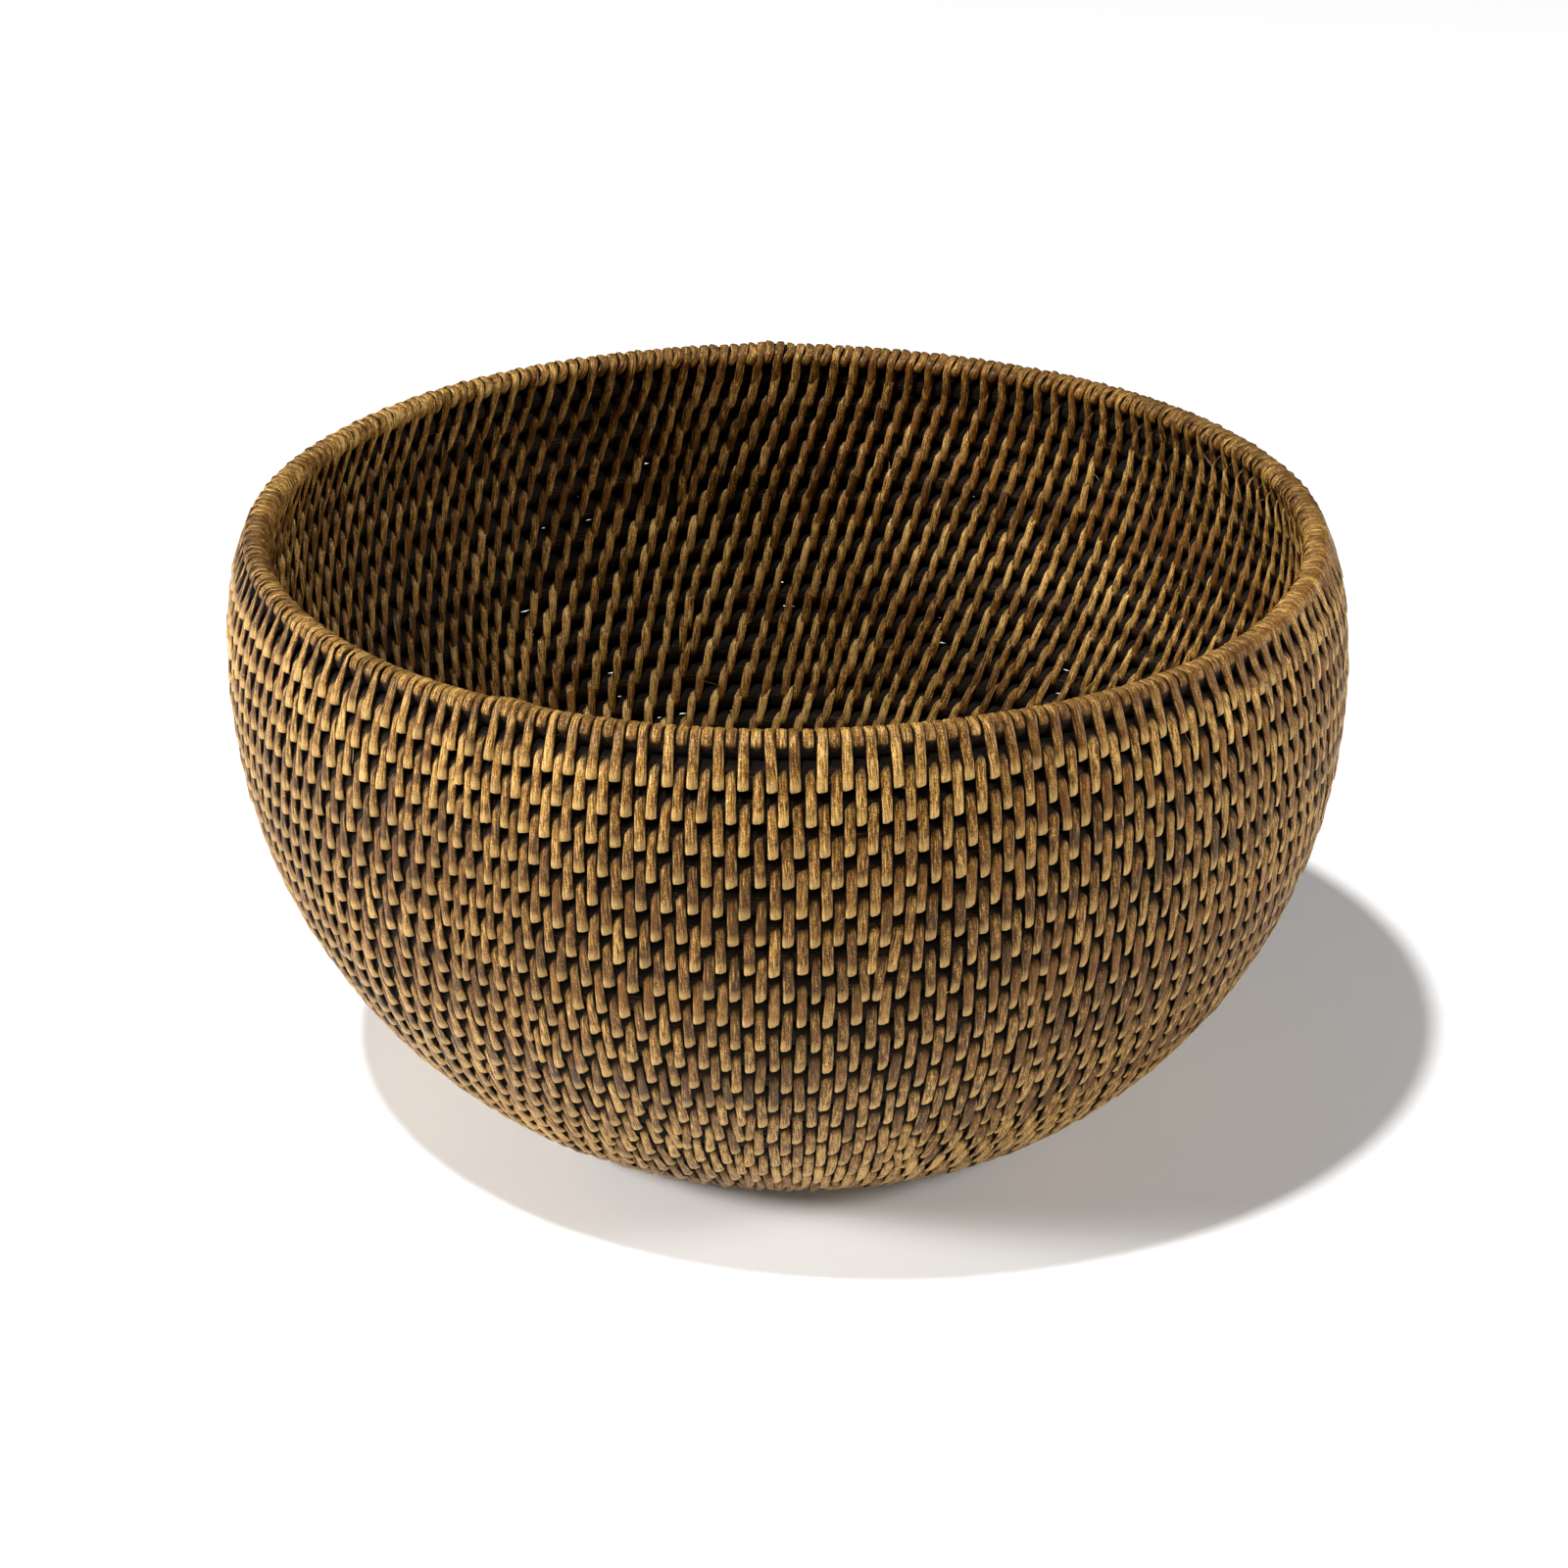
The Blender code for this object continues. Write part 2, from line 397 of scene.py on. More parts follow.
@dataclass(frozen=True)
class FloorFinish:
    """A pale matt studio floor, lit a little from underneath as a light table is."""

    name: str = "studio_floor"
    colour: Colour = (0.85, 0.85, 0.85)
    glow: float = 0.05

    def material(self) -> bpy.types.Material:
        """Build the node material, with a faint unevenness in its colour.

        Returns:
            The floor's material.
        """
        tree = ShaderTree(self.name)
        place = tree.place()
        cloud = tree.noise(place, 1.5, 1.0) * 0.01
        dim = tuple(c * 0.98 for c in self.colour)
        colour = tree.mix(cloud, (*self.colour, 1.0), (*dim, 1.0))
        inputs = {
            "Base Color": colour,
            "Roughness": 0.9,
            "Specular IOR Level": 0.1,
            "Emission Color": (1.0, 1.0, 1.0, 1.0),
            "Emission Strength": self.glow,
        }
        return tree.finish(inputs)


# --- Surfaces ---


def grid_mesh(name: str, points: Array, uv_name: str, uv: Array, numbers: dict[str, Array]) -> bpy.types.Mesh:
    """Make a mesh of a grid that closes on itself both ways, as a ring's skin does.

    Point (i, j) is joined to (i + 1, j) and (i, j + 1), both counted round, and each square faces the side
    on which a step in j crossed with a step in i points.

    Args:
        name: the mesh's name.
        points: places, an array of steps along by steps round by 3.
        uv_name: the name of the map.
        uv: map coordinates, one more each way than points, by 2.
        numbers: one number a point for each attribute.

    Returns:
        The mesh, smooth apart from its sharp edges.
    """
    along, round_ = points.shape[:2]
    i, j = np.meshgrid(np.arange(along), np.arange(round_), indexing="ij")
    corners = [(i, j), (i, j + 1), (i + 1, j + 1), (i + 1, j)]
    index = np.stack([(a % along) * round_ + b % round_ for a, b in corners], axis=-1).reshape(-1)
    mapped = np.stack([uv[a, b] for a, b in corners], axis=2).reshape(-1)
    mesh = bpy.data.meshes.new(name)
    faces = along * round_
    mesh.vertices.add(faces)
    mesh.vertices.foreach_set("co", points.astype(np.float32).reshape(-1))
    mesh.loops.add(4 * faces)
    mesh.polygons.add(faces)
    mesh.polygons.foreach_set("loop_start", np.arange(0, 4 * faces, 4, dtype=np.int32))
    mesh.loops.foreach_set("vertex_index", index.astype(np.int32))
    mesh.update(calc_edges=True)
    layer = mesh.uv_layers.new(name=uv_name)
    layer.uv.foreach_set("vector", mapped.astype(np.float32))
    for label, values in numbers.items():
        attribute = mesh.attributes.new(label, "FLOAT", "POINT")
        attribute.data.foreach_set("value", values.astype(np.float32).reshape(-1))
    mesh.shade_smooth()
    mesh.set_sharp_from_angle(angle=SHARP)
    return mesh


def placed(name: str, data: Any) -> bpy.types.Object:
    """A new object of a mesh, light or camera, in the scene."""
    item = bpy.data.objects.new(name, data)
    bpy.context.scene.collection.objects.link(item)
    return item


def unit(vectors: Array) -> Array:
    """Vectors of length one: each vector over its own length."""
    return vectors / np.maximum(np.linalg.norm(vectors, axis=-1, keepdims=True), 1e-12)


def turned(flat: Array, angle: Array) -> Array:
    """Turn directions (outward, up) about Z: the outward part points along the angle."""
    return np.stack([flat[..., 0] * np.cos(angle), flat[..., 0] * np.sin(angle), flat[..., 1]], axis=-1)


def round_step(values: Array) -> Array:
    """The step across each item of a closed run, from the one before it to the one after."""
    return np.roll(values, -1, axis=0) - np.roll(values, 1, axis=0)


# --- The coil ---


@dataclass(frozen=True)
class StripSizes:
    """The split strip that binds the coil."""

    width: float = 2.74 * MM
    thickness: float = 0.72 * MM
    long_pitch: float = 6.03 * MM  # from one long stitch to the next, at the cane


@dataclass(frozen=True)
class CaneSizes:
    """The canes that the coil is wound from."""

    radius: float = 2.95 * MM
    rim_radius: float = 2.70 * MM
    tip_radius: float = 1.25 * MM
    tip_turn: float = 2.0 * MM  # radius of the first, smallest turn


@dataclass(frozen=True)
class HandMade:
    """How far the basket is from a turned one: it leans, and its rounds are neither true nor level."""

    lean: float = 3.2 * MM
    out_of_round: float = 0.55 * MM
    out_of_level: float = 0.45 * MM
    height: float = 0.160
    splices: tuple[float, ...] = (1.60, -2.05, -0.42)  # angles at which the rim has a lump
    splice_height: float = 0.9 * MM
    splice_spread: float = 0.035  # an angle
    splice_share: float = 0.93  # the share of the height from which a lump starts to show

    def place(self, radius: Array, angle: Array, height: Array) -> Array:
        """Places in the basket as it was wound.

        The radius gains two slow waves round the basket that drift up the wall, and a faster ripple. The
        height gains waves that grow with the square of its share, from nothing at the base, and a bell-shaped
        lump at each splice. The rim is shifted sideways from the base by the lean.

        Args:
            radius: distance from the axis.
            angle: angle about the axis.
            height: height over the surface that the basket stands on.

        Returns:
            Points in X, Y and Z.
        """
        share = np.clip(height / self.height, 0.0, 1.0)
        wave = 0.6 * np.sin(2 * angle + 0.8 + 1.1 * share) + 0.4 * np.sin(3 * angle - 1.0 + 2.3 * share)
        ripple = 0.5 * np.sin(7 * angle + 40 * share) * np.sin(4 * angle - 31 * share)
        radius = radius + self.out_of_round * (wave + 0.3 * ripple) * np.clip(radius / 0.10, 0.0, 1.0)
        lift = 0.6 * np.sin(angle + 2.2) + 0.4 * np.sin(4 * angle + 0.5) + 0.15 * np.sin(9 * angle)
        height = height + self.out_of_level * (lift - 0.9) * share**2
        away = [(angle - splice + math.pi) % TURN - math.pi for splice in self.splices]
        lumps = sum(np.exp(-((off / self.splice_spread) ** 2)) for off in away)
        height = height + self.splice_height * lumps * np.clip((share - self.splice_share) / 0.05, 0.0, 1.0)
        shift = self.lean * (0.5 - share)
        return np.stack([radius * np.cos(angle) + shift, radius * np.sin(angle), height], axis=-1)

    @staticmethod
    def stood(points: Array) -> Array:
        """The same points, with what would reach under the floor pressed flat on it."""
        return np.concatenate([points[..., :2], np.maximum(points[..., 2:], 0.0)], axis=-1)


@dataclass
class Round:
    """One round of the coil, in the plane of radius and height."""

    name: str
    zone: Zone
    centre: Array
    along: Array
    outward: Array
    radius: float


@dataclass
class Coil:
    """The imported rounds, from the cane's tip at the centre of the base up to the rim.

    The wall's rounds are then pushed up, by nothing at the foot and most under the rim, and the rim a little.
    """

    cane: CaneSizes
    rounds: list[Round] = field(default_factory=list)
    base_count: int = 10
    pushed_up: float = 1.5 * MM
    rim_raised: float = 0.5 * MM

    @staticmethod
    def packed_centre(node: str) -> Array:
        """The centre of a packed ring's section.

        Args:
            node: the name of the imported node.

        Returns:
            Its radius and height: the middle of the section's box.
        """
        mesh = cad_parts[node].data
        points = np.empty(len(mesh.vertices) * 3, np.float32)
        mesh.vertices.foreach_get("co", points)
        points = points.reshape(-1, 3).astype(float)
        radius = np.hypot(points[:, 0], points[:, 1])
        return np.array([np.ptp(radius) / 2 + radius.min(), np.ptp(points[:, 2]) / 2 + points[:, 2].min()])

    def read(self) -> None:
        """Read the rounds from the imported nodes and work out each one's directions."""
        names = [name for name in sorted(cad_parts) if name.startswith(("base_round_", "wall_cane_"))]
        names.append("rim_cane")
        low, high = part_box("base_start")
        centres = [np.array([self.cane.tip_turn, (low.z + high.z) / 2])]
        centres += [self.packed_centre(name) for name in names]
        wall_count = len(centres) - 2 - self.base_count
        for index, centre in enumerate(centres[:-1]):
            centre[1] += self.pushed_up * max(0.0, (index - self.base_count) / wall_count)
        centres[-1][1] += self.rim_raised
        steps = np.diff(np.array(centres), axis=0)
        before = np.vstack([steps[:1], steps])
        after = np.vstack([steps, steps[-1:]])
        along = unit(unit(before) + unit(after))
        for index, (name, centre) in enumerate(zip(["base_start", *names], centres)):
            direction = along[index]
            zone = Zone.RIM if name == "rim_cane" else Zone.BASE if "base" in name else Zone.WALL
            radius = self.cane.rim_radius if zone is Zone.RIM else self.cane.radius
            radius = self.cane.tip_radius if index == 0 else radius
            outward = np.array([direction[1], -direction[0]])
            self.rounds.append(Round(name, zone, centre, direction, outward, radius))


@dataclass
class StitchPlan:
    """The angle of every stitch. The stitches of a round stand between those of the round below."""

    strip: StripSizes
    coil: Coil
    first_count: int = 8
    scatter: float = 0.22 * MM
    gap_doubt: float = 0.25  # how far chance may change which gaps count as the widest
    foot_split: float = 0.17  # where two feet stand in one gap, from its middle, as a share of the gap
    top_split: float = 0.26
    evening: float = 0.30
    evening_passes: int = 3
    seed: int = 11
    tops: list[Array] = field(default_factory=list)
    feet: list[Array] = field(default_factory=list)

    def lay_out(self) -> None:
        """Work out the angles round by round.

        A long stitch has its foot half way between two stitches of the round below. Where the round has
        grown too long for that, the widest gaps take two stitches. The tops are then evened out a little.
        """
        rng = np.random.default_rng(self.seed)
        top = np.arange(self.first_count) * TURN / self.first_count
        self.tops, self.feet = [np.empty(0), top], [np.empty(0), top]
        for here in self.coil.rounds[2:]:
            radius = here.centre[0]
            below = self.tops[-1]
            gap = np.diff(np.append(below, below[0] + TURN))
            wanted = round(TURN * radius / self.strip.long_pitch)
            extra = int(np.clip(wanted - len(below), 0, len(below)))
            rank = np.argsort(-gap * (1 + self.gap_doubt * rng.standard_normal(len(gap))))
            double = np.zeros(len(gap), bool)
            double[rank[:extra]] = True
            single = below[~double] + gap[~double] / 2
            start, room = below[double], gap[double]
            foot, top = (
                np.concatenate([single, start + room * (0.5 - split), start + room * (0.5 + split)])
                for split in (self.foot_split, self.top_split)
            )
            order = np.argsort(foot)
            foot, top = foot[order], top[order]
            for _ in range(self.evening_passes):
                left = np.append(top[-1] - TURN, top[:-1])
                right = np.append(top[1:], top[0] + TURN)
                top = top + self.evening * ((left + right) / 2 - top)
            noise = rng.standard_normal((2, len(top))) * self.scatter / radius
            self.tops.append(top + noise[0])
            self.feet.append(foot + noise[1])


@dataclass
class Binding:
    """The strip of one round, as one closed band that runs on from wrap to wrap."""

    strip: StripSizes
    hand: HandMade
    upper: Round
    lower: Round
    seed: int
    # The points of a wrap, as (up, out) shares of the coil's radius: over the upper cane and down outside,
    # past the lower cane's side to the foot, then up inside. The rim's top is rounder and its short wraps
    # stay on one cane.
    top_profile: tuple[Pair, ...] = ((1, 0), (0.68, 0.52), (0.28, 0.85), (-0.05, 1))
    rim_profile: tuple[Pair, ...] = ((1, 0), (0.80, 0.62), (0.42, 0.91), (0, 1))
    foot_profile: tuple[Pair, ...] = ((0.05, 1), (-0.60, 1), (-0.93, 0.95), (-1, 0.76))
    inside_profile: tuple[Pair, ...] = ((-1, -0.25), (-0.72, -0.72), (0, -1), (0, -1), (0.55, -0.84), (0.92, -0.42))
    short_profile: tuple[Pair, ...] = (
        (1, 0), (0.80, 0.62), (0.42, 0.91), (0.04, 1), (-0.20, 0.97), (-0.52, 0.78), (-0.80, 0.45),
        (-0.95, 0.15), (-0.88, -0.42), (-0.60, -0.80), (-0.22, -0.98), (0.22, -0.98), (0.60, -0.80), (0.90, -0.42),
    )  # fmt: skip
    points_above: int = 4  # points that lie on the upper cane outside
    points_outside: int = 8  # points before the strip turns under the lower cane
    points_below: int = 10  # points before the strip turns up inside
    points_inside_above: int = 3  # points that lie on the upper cane inside
    # How far each point has gone round the basket: from the top's angle to the foot's outside, and from the
    # foot's to the next wrap's inside.
    long_share: tuple[float, ...] = (0, 0, 0, 0.15, 0.85, 1, 1, 1, 0.12, 0.28, 0.36, 0.62, 0.72, 0.87)
    short_share: tuple[float, ...] = (0, 0, 0, 0.15, 0.85, 1, 1, 1, 0, 0.15, 0.40, 0.60, 0.85, 1)
    # How far the strip's face turns onward, towards the next wrap, at each point, as a share of its lean.
    twist: tuple[float, ...] = (0, 0.35, 0.50, 0.35, -0.10, -0.28, -0.38, -0.20, 0.3, 0.4, 0.3, -0.3, -0.4, -0.3)
    # The strip's section, as shares of its width and thickness, and where on its map each point lies.
    crown: tuple[Pair, ...] = ((-0.5, -0.42), (-0.4, 0.2), (0, 0.5), (0.4, 0.2), (0.5, -0.42), (0, -0.5))
    rim_crown: tuple[Pair, ...] = ((-0.5, -0.45), (-0.4, 0.3), (0, 0.5), (0.4, 0.3), (0.5, -0.45), (0, -0.5))
    map_across: tuple[float, ...] = (0, 0.10, 0.50, 0.90, 1, 1.5, 2)
    proud: float = 0.45 * MM
    upper_play: float = 0.05 * MM
    lower_play: float = 0.12 * MM
    foot_play: float = 0.18 * MM
    tilt_spread: float = 0.07
    twist_spread: float = 0.25
    width_spread: float = 0.06
    fill: float = 1.02  # the widest a strip may be, as a share of the room that a wrap has
    rim_fill: float = 0.94
    rim_widening: float = 1.08
    foot_fill: float = 0.97
    least_foot: float = 0.9 * MM
    # How strongly the painted groove shade falls on the inner shoulder, on the inner side and under the rim.
    inner_shoulder: float = 0.55  # how much of its depth shows as a groove
    inner_side: float = 1.5
    under_rim: float = 0.8
    inside_paler: float = 0.16
    strip_wraps: tuple[int, int] = (8, 46)  # how many wraps one strip may last
    tone_mean: float = 0.52
    strip_tone_spread: float = 0.17
    wrap_tone_spread: float = 0.13
    rust_spread: float = 0.08
    worn_paleness: float = 0.76
    worn_height: float = 0.055

    def wraps(self, tops: Array, feet: Array, shorts: Array) -> tuple[Array, Array, Array, Array]:
        """Put the long stitches and short wraps of the round in order, clockwise from above.

        Args:
            tops: angles of the long stitches on the upper cane.
            feet: angles of their feet.
            shorts: angles of the short wraps.

        Returns:
            Each wrap's top, its foot, the next wrap's top, and whether it is long.
        """
        top, foot = np.concatenate([tops, shorts]), np.concatenate([feet, shorts])
        is_long = np.arange(len(top)) < len(tops)
        order = np.argsort(-top)
        top, foot, is_long = top[order], foot[order], is_long[order]
        following = np.append(top[1:], top[0] - TURN)
        return top, foot, following, is_long

    def sections(self, is_long: Array, rng: np.random.Generator) -> tuple[Array, Array]:
        """The wraps' middle lines in the plane of radius and height.

        A point lies at its cane's centre, plus the round's direction times its share up, and its outward
        direction times its share out, times the radius of the cane with half the strip on it. Outside, the
        foot of a long stitch stands proud.

        Args:
            is_long: whether each wrap is long.
            rng: the source of the small differences between wraps.

        Returns:
            Places (radius, height), and how deep in a groove each is, from 0 outside to 1.
        """
        count, steps = len(is_long), len(self.short_profile)
        step = np.arange(steps)
        above = (step < self.points_above) | (step >= steps - self.points_inside_above)
        outside = step < self.points_outside
        top = self.rim_profile if self.upper.zone is Zone.RIM else self.top_profile
        long_profile = np.array([*top, *self.foot_profile, *self.inside_profile], float)
        shares = np.where(is_long[:, None, None], long_profile, np.array(self.short_profile, float))
        on_upper = above[None, :] | ~is_long[:, None]
        thick = self.strip.thickness
        play = np.where(on_upper, self.upper_play, self.lower_play)
        loose = play * rng.standard_normal((count, 1)).clip(-2, 1.2)
        radius = np.where(on_upper, self.upper.radius, self.lower.radius) + 0.5 * thick + loose
        up, out = shares[..., 0] * radius, shares[..., 1] * radius
        out = out + np.where(on_upper | ~outside, 0.0, self.proud)
        up = up + np.where(on_upper, 0.0, self.foot_play) * rng.standard_normal((count, 1)).clip(-1, 1)
        pick = on_upper[..., None]
        centre = np.where(pick, self.upper.centre, self.lower.centre)
        along = np.where(pick, self.upper.along, self.lower.along)
        outward = np.where(pick, self.upper.outward, self.lower.outward)
        # How deep each point lies in a groove, which the strip's material paints as dust and shade: deeper on the
        # inner side and under the rim, shallower on the inner shoulder, where light falls.
        deep = 1 - np.abs(out) / (self.upper.radius + thick)
        deep = deep * np.where(step >= steps - self.points_inside_above, self.inner_shoulder, 1.0)
        deep = np.where(~outside & ~above, deep * self.inner_side + 0.03, deep)
        if self.upper.zone is Zone.RIM:
            deep = np.where(on_upper & (up > 0), 0.0, deep)
            under = np.clip(-up / radius - 0.1, 0.0, 1.0) * (on_upper & outside)
            deep = deep + self.under_rim * under
        return centre + up[..., None] * along + out[..., None] * outward, np.clip(deep, 0.0, 1.0)

    def tones(self, count: int, rng: np.random.Generator) -> tuple[Array, Array]:
        """Each wrap's tone and rust.

        Both change from strip to strip, and a strip lasts some dozen wraps. Low rounds are paler, the more the
        nearer they are to the floor.

        Args:
            count: how many wraps there are.
            rng: the source of the differences.

        Returns:
            Tone and rust, one of each a wrap.
        """
        fewest, most = self.strip_wraps
        lengths = rng.integers(fewest, most, size=count // fewest + 2)
        strip_of = np.repeat(np.arange(len(lengths)), lengths)[:count]
        tone = np.clip(rng.normal(self.tone_mean, self.strip_tone_spread, len(lengths)), 0.1, 0.9)[strip_of]
        rust = (rng.random(len(lengths)) ** 4)[strip_of]  # few strips have much
        pale_share = self.worn_paleness * np.clip(1 - self.upper.centre[1] / self.worn_height, 0, 1) ** 0.8
        tone = np.clip(tone + rng.normal(0, self.wrap_tone_spread, count), 0.0, 1.0) + pale_share
        return tone, np.clip(rust + rng.normal(0, self.rust_spread, count), 0.0, 1.0)

    def foot_room(self, foot: Array, is_long: Array, below: Array) -> Array:
        """The width that each foot has between the stitches of the round below and the other feet.

        Args:
            foot: angles of the feet.
            is_long: which of them are long stitches' feet.
            below: angles of the stitches of the round below.

        Returns:
            One width a wrap.
        """
        others = np.sort(np.mod(np.concatenate([below, foot[is_long]]), TURN))
        others = np.concatenate([others - TURN, others, others + TURN])
        own = np.mod(foot, TURN)
        right = others[np.searchsorted(others, own + 1e-6)] - own
        left = own - others[np.searchsorted(others, own - 1e-6) - 1]
        return np.maximum((left + right) * 0.5 * self.lower.centre[0] * self.foot_fill, self.least_foot)

    def mesh(self, name: str, tops: Array, feet: Array, shorts: Array, below: Array) -> bpy.types.Mesh:
        """The round's whole band.

        The band's middle line is carried round every wrap. At each point its section, a low crown over a flat
        back, is laid across the line: its width along the cross product of the line's direction and the
        normal, and its thickness along the normal.

        Args:
            name: the mesh's name.
            tops: angles of the long stitches on this round's cane.
            feet: angles of their feet.
            shorts: angles of the short wraps.
            below: angles of the stitches of the round below.

        Returns:
            The mesh.
        """
        rng = np.random.default_rng(self.seed)
        on_rim = self.upper.zone is Zone.RIM
        top, foot, following, is_long = self.wraps(tops, feet, shorts)
        flat, deep = self.sections(is_long, rng)
        share = np.where(is_long[:, None], self.long_share, self.short_share)
        step = np.arange(share.shape[1])
        outside = step < self.points_outside
        start = np.where(outside, top[:, None], foot[:, None])
        end = np.where(outside, foot[:, None], following[:, None])
        angle = (start + share * (end - start)).reshape(-1)
        flat = flat.reshape(-1, 2)
        line = self.hand.place(flat[:, 0], angle, flat[:, 1])
        slope = round_step(flat)
        onward = np.stack([np.sin(angle), -np.cos(angle), np.zeros_like(angle)], axis=1)
        twisted = rng.normal(1.0, self.twist_spread, (len(top), 1)) * is_long[:, None]
        turn = (np.array(self.twist) * twisted).reshape(-1, 1)
        normal = unit(turned(unit(np.stack([-slope[:, 1], slope[:, 0]], axis=1)), angle) + turn * onward)
        forward = unit(round_step(line))
        side = unit(np.cross(forward, normal))
        normal = np.cross(side, forward)
        tilt = np.repeat(rng.normal(0.0, self.tilt_spread, len(top)), len(step))[:, None]
        side = side + tilt * forward
        room = TURN * self.upper.centre[0] / len(top) * (self.rim_fill if on_rim else self.fill)
        own_width = self.strip.width * np.clip(rng.normal(1.0, self.width_spread, len(top)), 0.82, 1.12)
        own_width = own_width * (self.rim_widening if on_rim else 1.0)
        own_width = np.minimum(own_width, room)[:, None]
        reach = self.foot_room(foot, is_long, below)[:, None]
        low = (step >= self.points_above) & (step < self.points_below)
        width = np.where(low & is_long[:, None], np.minimum(own_width, reach), own_width).reshape(-1)
        across, rise = np.array(self.rim_crown if on_rim else self.crown, float).T
        rise = rise * self.strip.thickness
        points = line[:, None] + across[:, None] * (width[:, None] * side)[:, None]
        points = self.hand.stood(points + rise[:, None] * normal[:, None])
        run = np.linalg.norm(np.diff(line, axis=0, append=line[:1]), axis=1) / MAP_UNIT
        run = np.concatenate([[0.0], np.cumsum(run)])
        uv = np.stack(np.broadcast_arrays(np.array(self.map_across, float)[None, :], run[:, None]), axis=-1)
        tone, rust = self.tones(len(top), rng)
        # Inside faces are paler: painted light on the inner wall.
        tone = tone[:, None] + np.where(outside, 0.0, self.inside_paler)
        # Pale on the foot's outer corner and the rim's crest: scuffing with a painted highlight.
        wear_and_highlight = np.zeros_like(share)
        wear_and_highlight[:, 5:7] = is_long[:, None]  # the foot's outer corner
        if on_rim:
            wear_and_highlight[:, :2] = 0.2  # the rim's crest
        numbers = {
            "tone": np.repeat(tone.reshape(-1), len(across)),
            "rust": np.repeat(rust, len(step) * len(across)),
            "groove": np.repeat(deep.reshape(-1), len(across)),
            "wear_and_highlight": np.repeat(wear_and_highlight.reshape(-1), len(across)),
        }
        return grid_mesh(name, points, "strip", uv, numbers)


@dataclass
class CaneRing:
    """The cane of one round: a fibrous rod bent into a ring."""

    hand: HandMade
    here: Round
    gaps: Pair  # from this round's centre to the next ones', below and above
    filled: float = 0.515  # the share of a gap that this cane fills
    thin_share: float = 0.025  # how often the cane is thin enough there for a speck of light to pass
    thinned: float = 0.88
    shrunk: float = 0.97  # the mean radius, as a share of the round's
    ridge: Pair = (0.03, 0.02)
    sides: int = 16
    fewest_steps: int = 48
    step: float = 3.0 * MM

    def mesh(self, name: str) -> bpy.types.Mesh:
        """A tube round the basket: a circle about the round's centre, carried round the axis.

        The circle's radius has low ridges that run along the cane and wander a little. Towards the rounds
        below and above it is drawn out until it just meets them, apart from the thin places.

        Args:
            name: the mesh's name.

        Returns:
            The mesh.
        """
        steps = max(self.fewest_steps, int(TURN * self.here.centre[0] / self.step))
        around = np.arange(steps)[:, None] * TURN / steps
        turn = np.arange(self.sides)[None, :] * TURN / self.sides
        ridges = self.ridge[0] * np.sin(5 * turn + 3 * np.sin(2 * around))
        ridges = ridges + self.ridge[1] * np.sin(3 * turn - 4 * around)
        radius = self.here.radius * (self.shrunk + ridges)
        rng = np.random.default_rng(int(self.here.centre[0] * 1e6))
        thin = np.where(rng.random((steps, 1)) < self.thin_share, self.thinned, 1.0)
        below, above = (np.maximum(self.filled * gap * thin, self.here.radius) for gap in self.gaps)
        tall = np.where(np.sin(turn) < 0, below, above)
        offset = (radius * np.cos(turn))[..., None] * self.here.outward
        offset = offset + (tall * np.sin(turn))[..., None] * self.here.along
        flat = self.here.centre + offset
        points = self.hand.place(flat[..., 0], np.broadcast_to(around, radius.shape), flat[..., 1])
        length = TURN * self.here.centre[0] / MAP_UNIT
        run = np.linspace(0.0, length, steps + 1)[:, None]
        spread = np.linspace(0.0, 1.0, self.sides + 1)[None, :]
        uv = np.stack(np.broadcast_arrays(spread, run), axis=-1)
        # How deep in a groove each point lies, for the cane's painted shade: most where it faces the rounds below
        # and above, and more on its inner side.
        inside = 0.15 * (np.cos(turn) < 0)
        deep = np.broadcast_to(1 - np.abs(np.cos(turn)) + inside, radius.shape)
        return grid_mesh(name, points, "cane", uv, {"groove": deep})


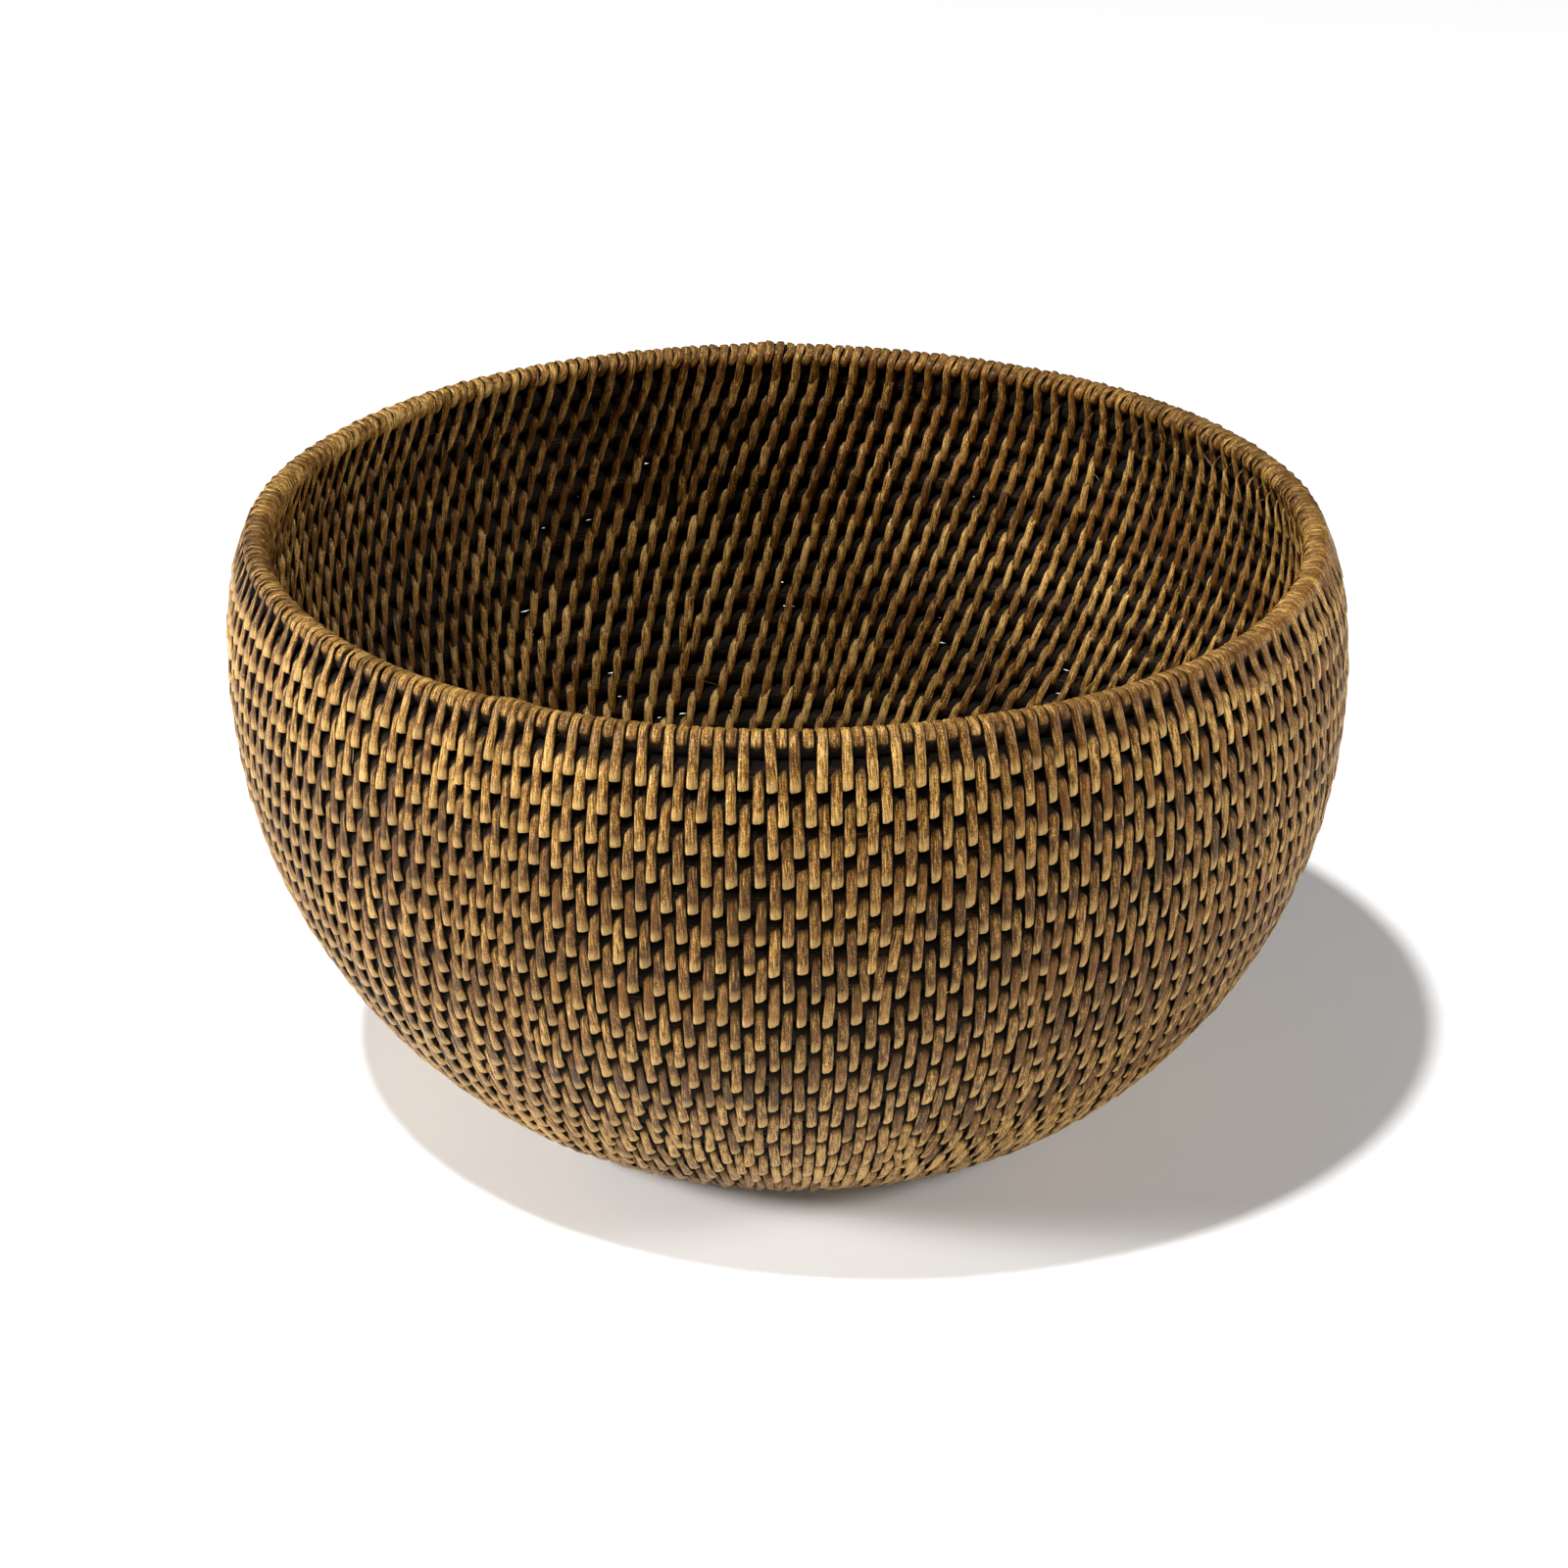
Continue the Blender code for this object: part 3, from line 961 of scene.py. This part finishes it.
@dataclass
class LooseFibres:
    """Fine fibres that have split off the strips and stand off the wall."""

    hand: HandMade
    rounds: list[Round]
    count: int = 170
    steps: int = 6
    sides: int = 3
    radius: float = 0.075 * MM
    stand_off: float = 3.75 * MM
    outside_share: float = 0.7
    lengths: Pair = (2.0, 6.5)  # shortest and longest, in millimetres
    lifts: Pair = (0.2, 1.3)  # least and most, in millimetres
    start_reach: float = 3.0  # how far up or down a fibre may start from its round, in millimetres
    lean_spread: float = 0.8
    bend_spread: float = 0.35
    tip: float = 0.04  # an end's radius, as a share of the middle's
    seed: int = 7

    def mesh(self, name: str) -> bpy.types.Mesh:
        """Thin bent tubes, each with a point at both ends.

        A fibre leaves a round's outside or inside face, runs off sideways and down, and lifts with the
        square of the way along it. Its circle shrinks almost to nothing at the ends, as a half sine does.

        Args:
            name: the mesh's name.

        Returns:
            The mesh.
        """
        rng = np.random.default_rng(self.seed)
        pick = rng.integers(0, len(self.rounds), self.count)
        frames = np.array([(here.centre, here.outward, here.along) for here in self.rounds])[pick]
        centre, outward, along = (frames[:, which, None] for which in range(3))
        face = np.where(rng.random(self.count) < self.outside_share, 1.0, -1.0)[:, None]
        way = np.linspace(0.0, 1.0, self.steps)[None, :]
        length = rng.uniform(*self.lengths, (self.count, 1)) * MM
        lean = rng.normal(0.0, self.lean_spread, (self.count, 1))
        lift = rng.uniform(*self.lifts, (self.count, 1)) * MM
        off = self.stand_off + lift * way**2
        start = rng.uniform(-self.start_reach, self.start_reach, (self.count, 1)) * MM
        down = start - length * np.cos(lean) * way
        flat = centre + (face * off)[..., None] * outward + down[..., None] * along
        bend = rng.normal(0.0, self.bend_spread, (self.count, 1)) * way * way
        sideways = (np.sin(lean) * way + bend) * length / flat[..., 0]
        angle = rng.uniform(-math.pi, math.pi, (self.count, 1)) + sideways
        line = self.hand.place(flat[..., 0], angle, flat[..., 1])
        forward = unit(np.gradient(line, axis=1))
        first = unit(np.cross(forward, np.array([0.3, 0.2, 1.0])))
        second = np.cross(forward, first)
        turn = np.arange(self.sides) * TURN / self.sides
        thick = self.radius * (self.tip + np.sin(math.pi * way))[..., None, None]
        ring = np.cos(turn)[:, None] * first[..., None, :] + np.sin(turn)[:, None] * second[..., None, :]
        points = self.hand.stood(line[:, :, None] + thick * ring)
        number = np.arange(self.count * self.steps * self.sides).reshape(self.count, self.steps, self.sides)
        right = np.roll(number, -1, axis=2)
        quads = [number[:, :-1], right[:, :-1], right[:, 1:], number[:, 1:]]
        quads = np.stack(quads, axis=-1).reshape(-1, 4)
        caps = np.concatenate([number[:, 0, ::-1], number[:, -1]])
        mesh = bpy.data.meshes.new(name)
        mesh.from_pydata(points.reshape(-1, 3).tolist(), [], quads.tolist() + caps.tolist())
        mesh.shade_smooth()
        return mesh


# --- The basket ---


@dataclass
class Basket:
    """All the rounds, their bindings, and the materials they share."""

    strip: StripSizes = StripSizes()
    cane: CaneSizes = CaneSizes()
    hand: HandMade = HandMade()
    first_seed: int = 100

    def add(self, mesh: bpy.types.Mesh, material: bpy.types.Material, slot: str, nodes: list[str]) -> None:
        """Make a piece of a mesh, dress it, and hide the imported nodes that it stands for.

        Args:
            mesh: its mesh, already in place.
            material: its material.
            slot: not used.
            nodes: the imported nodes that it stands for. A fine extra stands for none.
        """
        mesh.materials.append(material)
        piece = placed(mesh.name, mesh)
        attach(piece, BODY)
        if nodes:
            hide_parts(*nodes)
        log.info("%s: %d faces", piece.name, len(mesh.polygons))

    def build(self) -> None:
        """Read the coil, plan its stitches, make each round's cane and binding, and add the loose fibres."""
        coil = Coil(self.cane)
        coil.read()
        plan = StitchPlan(self.strip, coil)
        plan.lay_out()
        cane_material = CaneFinish("raw_cane").material()
        slots = {zone: f"{zone.value}_strip" for zone in Zone}
        strips = {zone: StripFinish(slot).material() for zone, slot in slots.items()}
        centres = np.array([here.centre for here in coil.rounds])
        gaps = [0.0, *np.linalg.norm(np.diff(centres, axis=0), axis=1), 0.0]
        gaps[1] = 0.0  # the tip and the first round keep their own radii
        for index, here in enumerate(coil.rounds):
            ring = CaneRing(self.hand, here, (gaps[index], gaps[index + 1]))
            label = here.name.replace("_round", "").replace("_cane", "")
            self.add(ring.mesh(f"{label}_cane_rod"), cane_material, "core_cane", [here.name])
            if index == 0:
                continue
            binding = Binding(self.strip, self.hand, here, coil.rounds[index - 1], self.first_seed + index)
            tops, shorts = plan.tops[index], np.empty(0)
            if here.zone is Zone.RIM:
                shorts = tops + np.diff(np.append(tops, tops[0] + TURN)) / 2
            mesh = binding.mesh(f"{label}_stitches", tops, plan.feet[index], shorts, plan.tops[index - 1])
            self.add(mesh, strips[here.zone], slots[here.zone], [here.name.replace("_cane", "_binding")])
        fibres = LooseFibres(self.hand, [here for here in coil.rounds if here.zone is Zone.WALL])
        self.add(fibres.mesh("loose_fibres"), FibreFinish("loose_fibre").material(), "wall_strip", [])


# --- The studio ---


@dataclass
class Studio:
    """A pale floor, soft lights and the camera."""

    target: Vector = field(default_factory=lambda: Vector((-0.0016, 0.0, 0.080)))
    distance: float = 1.0902
    elevation: float = 25.09
    roll: float = 0.296
    lens: float = 91.08
    floor_size: float = 12.0
    fill_size: float = 0.4
    sky: float = 0.04
    clip: Pair = (0.05, 50.0)

    def floor(self) -> None:
        """A flat floor under the basket."""
        half = self.floor_size / 2
        mesh = bpy.data.meshes.new("studio_floor")
        corners = [(-half, -half, 0.0), (half, -half, 0.0), (half, half, 0.0), (-half, half, 0.0)]
        mesh.from_pydata(corners, [], [(0, 1, 2, 3)])
        mesh.materials.append(FloorFinish().material())
        piece = placed("studio_floor", mesh)

    def light(self, name: str, place: Triple, size: float, power: float) -> None:
        """A square soft light that faces the basket.

        Args:
            name: its name.
            place: where it stands.
            size: its side.
            power: its power, in watts.
        """
        data = bpy.data.lights.new(name, "AREA")
        data.shape, data.size, data.energy = "SQUARE", size, power
        lamp = placed(name, data)
        lamp.location = place
        lamp.rotation_euler = (self.target - lamp.location).to_track_quat("-Z", "Y").to_euler()

    def sun(self, name: str, azimuth: float, elevation: float, strength: float, softness: float) -> None:
        """A key light so far off that it falls evenly on the whole floor.

        Args:
            name: its name.
            azimuth: where it stands, in degrees to the right of the camera's far side, from above.
            elevation: its height over the floor, in degrees.
            strength: its strength, in watts to the square metre.
            softness: its width, in degrees.
        """
        data = bpy.data.lights.new(name, "SUN")
        data.energy, data.angle = strength, math.radians(softness)
        lamp = placed(name, data)
        across, up = math.radians(azimuth), math.radians(elevation)
        toward = Vector((math.sin(across) * math.cos(up), math.cos(across) * math.cos(up), math.sin(up)))
        lamp.rotation_euler = toward.to_track_quat("Z", "Y").to_euler()

    def camera(self) -> None:
        """The camera, in front of the basket and above it."""
        tilt = math.radians(self.elevation)
        back = Vector((0.0, -math.cos(tilt), math.sin(tilt)))
        data = bpy.data.cameras.new("camera")
        data.lens = self.lens
        data.clip_start, data.clip_end = self.clip
        camera = placed("camera", data)
        camera.location = self.target + back * self.distance
        aim = (-back).to_track_quat("-Z", "Y")
        camera.rotation_euler = aim.to_euler()
        camera.rotation_euler.rotate_axis("Z", math.radians(self.roll))
        bpy.context.scene.camera = camera

    def build(self) -> None:
        """Set the whole studio up."""
        self.floor()
        self.sun("key", azimuth=-128.0, elevation=71.0, strength=2.75, softness=3.0)
        self.light("left_fill", (-1.42, -0.42, 0.68), self.fill_size, 34.0)
        self.light("right_fill", (1.42, -0.30, 0.66), self.fill_size, 15.0)
        world = bpy.data.worlds.new("studio")
        world.use_nodes = True
        background = world.node_tree.nodes["Background"]
        background.inputs["Color"].default_value = (1.0, 1.0, 1.0, 1.0)
        background.inputs["Strength"].default_value = self.sky
        bpy.context.scene.world = world
        bpy.context.scene.view_settings.view_transform = "Standard"
        self.camera()


def main() -> None:
    """Build the basket and its studio."""
    logging.basicConfig(level=logging.INFO, format="%(name)s: %(message)s")
    Basket().build()
    Studio().build()


if __name__ == "__main__":
    main()
